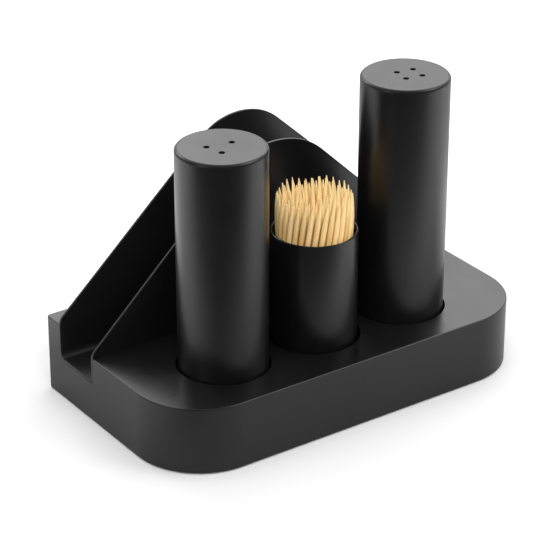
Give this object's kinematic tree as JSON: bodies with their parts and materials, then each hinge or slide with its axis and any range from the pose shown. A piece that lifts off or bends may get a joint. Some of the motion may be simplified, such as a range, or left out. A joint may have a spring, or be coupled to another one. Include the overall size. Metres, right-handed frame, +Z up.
{
  "type": "salt and pepper set with toothpick cup and napkin slot",
  "caption": "black salt and pepper shakers with a cup of wooden toothpicks, standing in a moulded base that has a napkin slot behind them",
  "frame": {"origin": "centre of the base outline on the table, under the feet", "axes": "+X along the long side, -Y is the front, +Z is up"},
  "size_m": [0.1464, 0.0818, 0.1086],
  "materials": {
    "black_plastic": "satin moulded black",
    "black_coated_steel": "satin black coating",
    "soft_rubber": "matte",
    "steel": "plain zinc",
    "pale_wood": "bare turned birch"
  },
  "bodies": {
    "base": {"base_shell": "black_plastic", "base_cover": "black_plastic", "cover_screws": "steel", "front_left_foot": "soft_rubber", "front_right_foot": "soft_rubber", "rear_left_foot": "soft_rubber", "rear_right_foot": "soft_rubber", "front_plate": "black_coated_steel", "front_plate_nuts": "steel", "rear_plate": "black_coated_steel", "rear_plate_nuts": "steel"},
    "pepper_shaker": {"pepper_shaker_body": "black_coated_steel", "pepper_base_ring": "black_plastic"},
    "pepper_plug": {"pepper_stopper": "soft_rubber"},
    "salt_shaker": {"salt_shaker_body": "black_coated_steel", "salt_base_ring": "black_plastic"},
    "salt_plug": {"salt_stopper": "soft_rubber"},
    "cup": {"toothpick_cup": "black_coated_steel"},
    "picks": {"toothpicks": "pale_wood"}
  },
  "joints": [
    {"name": "pepper_lift", "type": "slide", "parent": "base", "child": "pepper_shaker", "axis": [0, 0, 1], "range_m": [0, 0.05]},
    {"name": "salt_lift", "type": "slide", "parent": "base", "child": "salt_shaker", "axis": [0, 0, 1], "range_m": [0, 0.05]},
    {"name": "cup_lift", "type": "slide", "parent": "base", "child": "cup", "axis": [0, 0, 1], "range_m": [0, 0.05]},
    {"name": "toothpicks_lift", "type": "slide", "parent": "cup", "child": "picks", "axis": [0, 0, 1], "range_m": [0, 0.055]},
    {"name": "pepper_stopper_pull", "type": "slide", "parent": "pepper_shaker", "child": "pepper_plug", "axis": [0, 0, -1], "range_m": [0, 0.012]},
    {"name": "salt_stopper_pull", "type": "slide", "parent": "salt_shaker", "child": "salt_plug", "axis": [0, 0, -1], "range_m": [0, 0.012]}
  ],
  "couplings": [
    {"joint": "pepper_stopper_pull", "follows": "pepper_lift", "ratio": 0.24},
    {"joint": "salt_stopper_pull", "follows": "salt_lift", "ratio": 0.24}
  ]
}
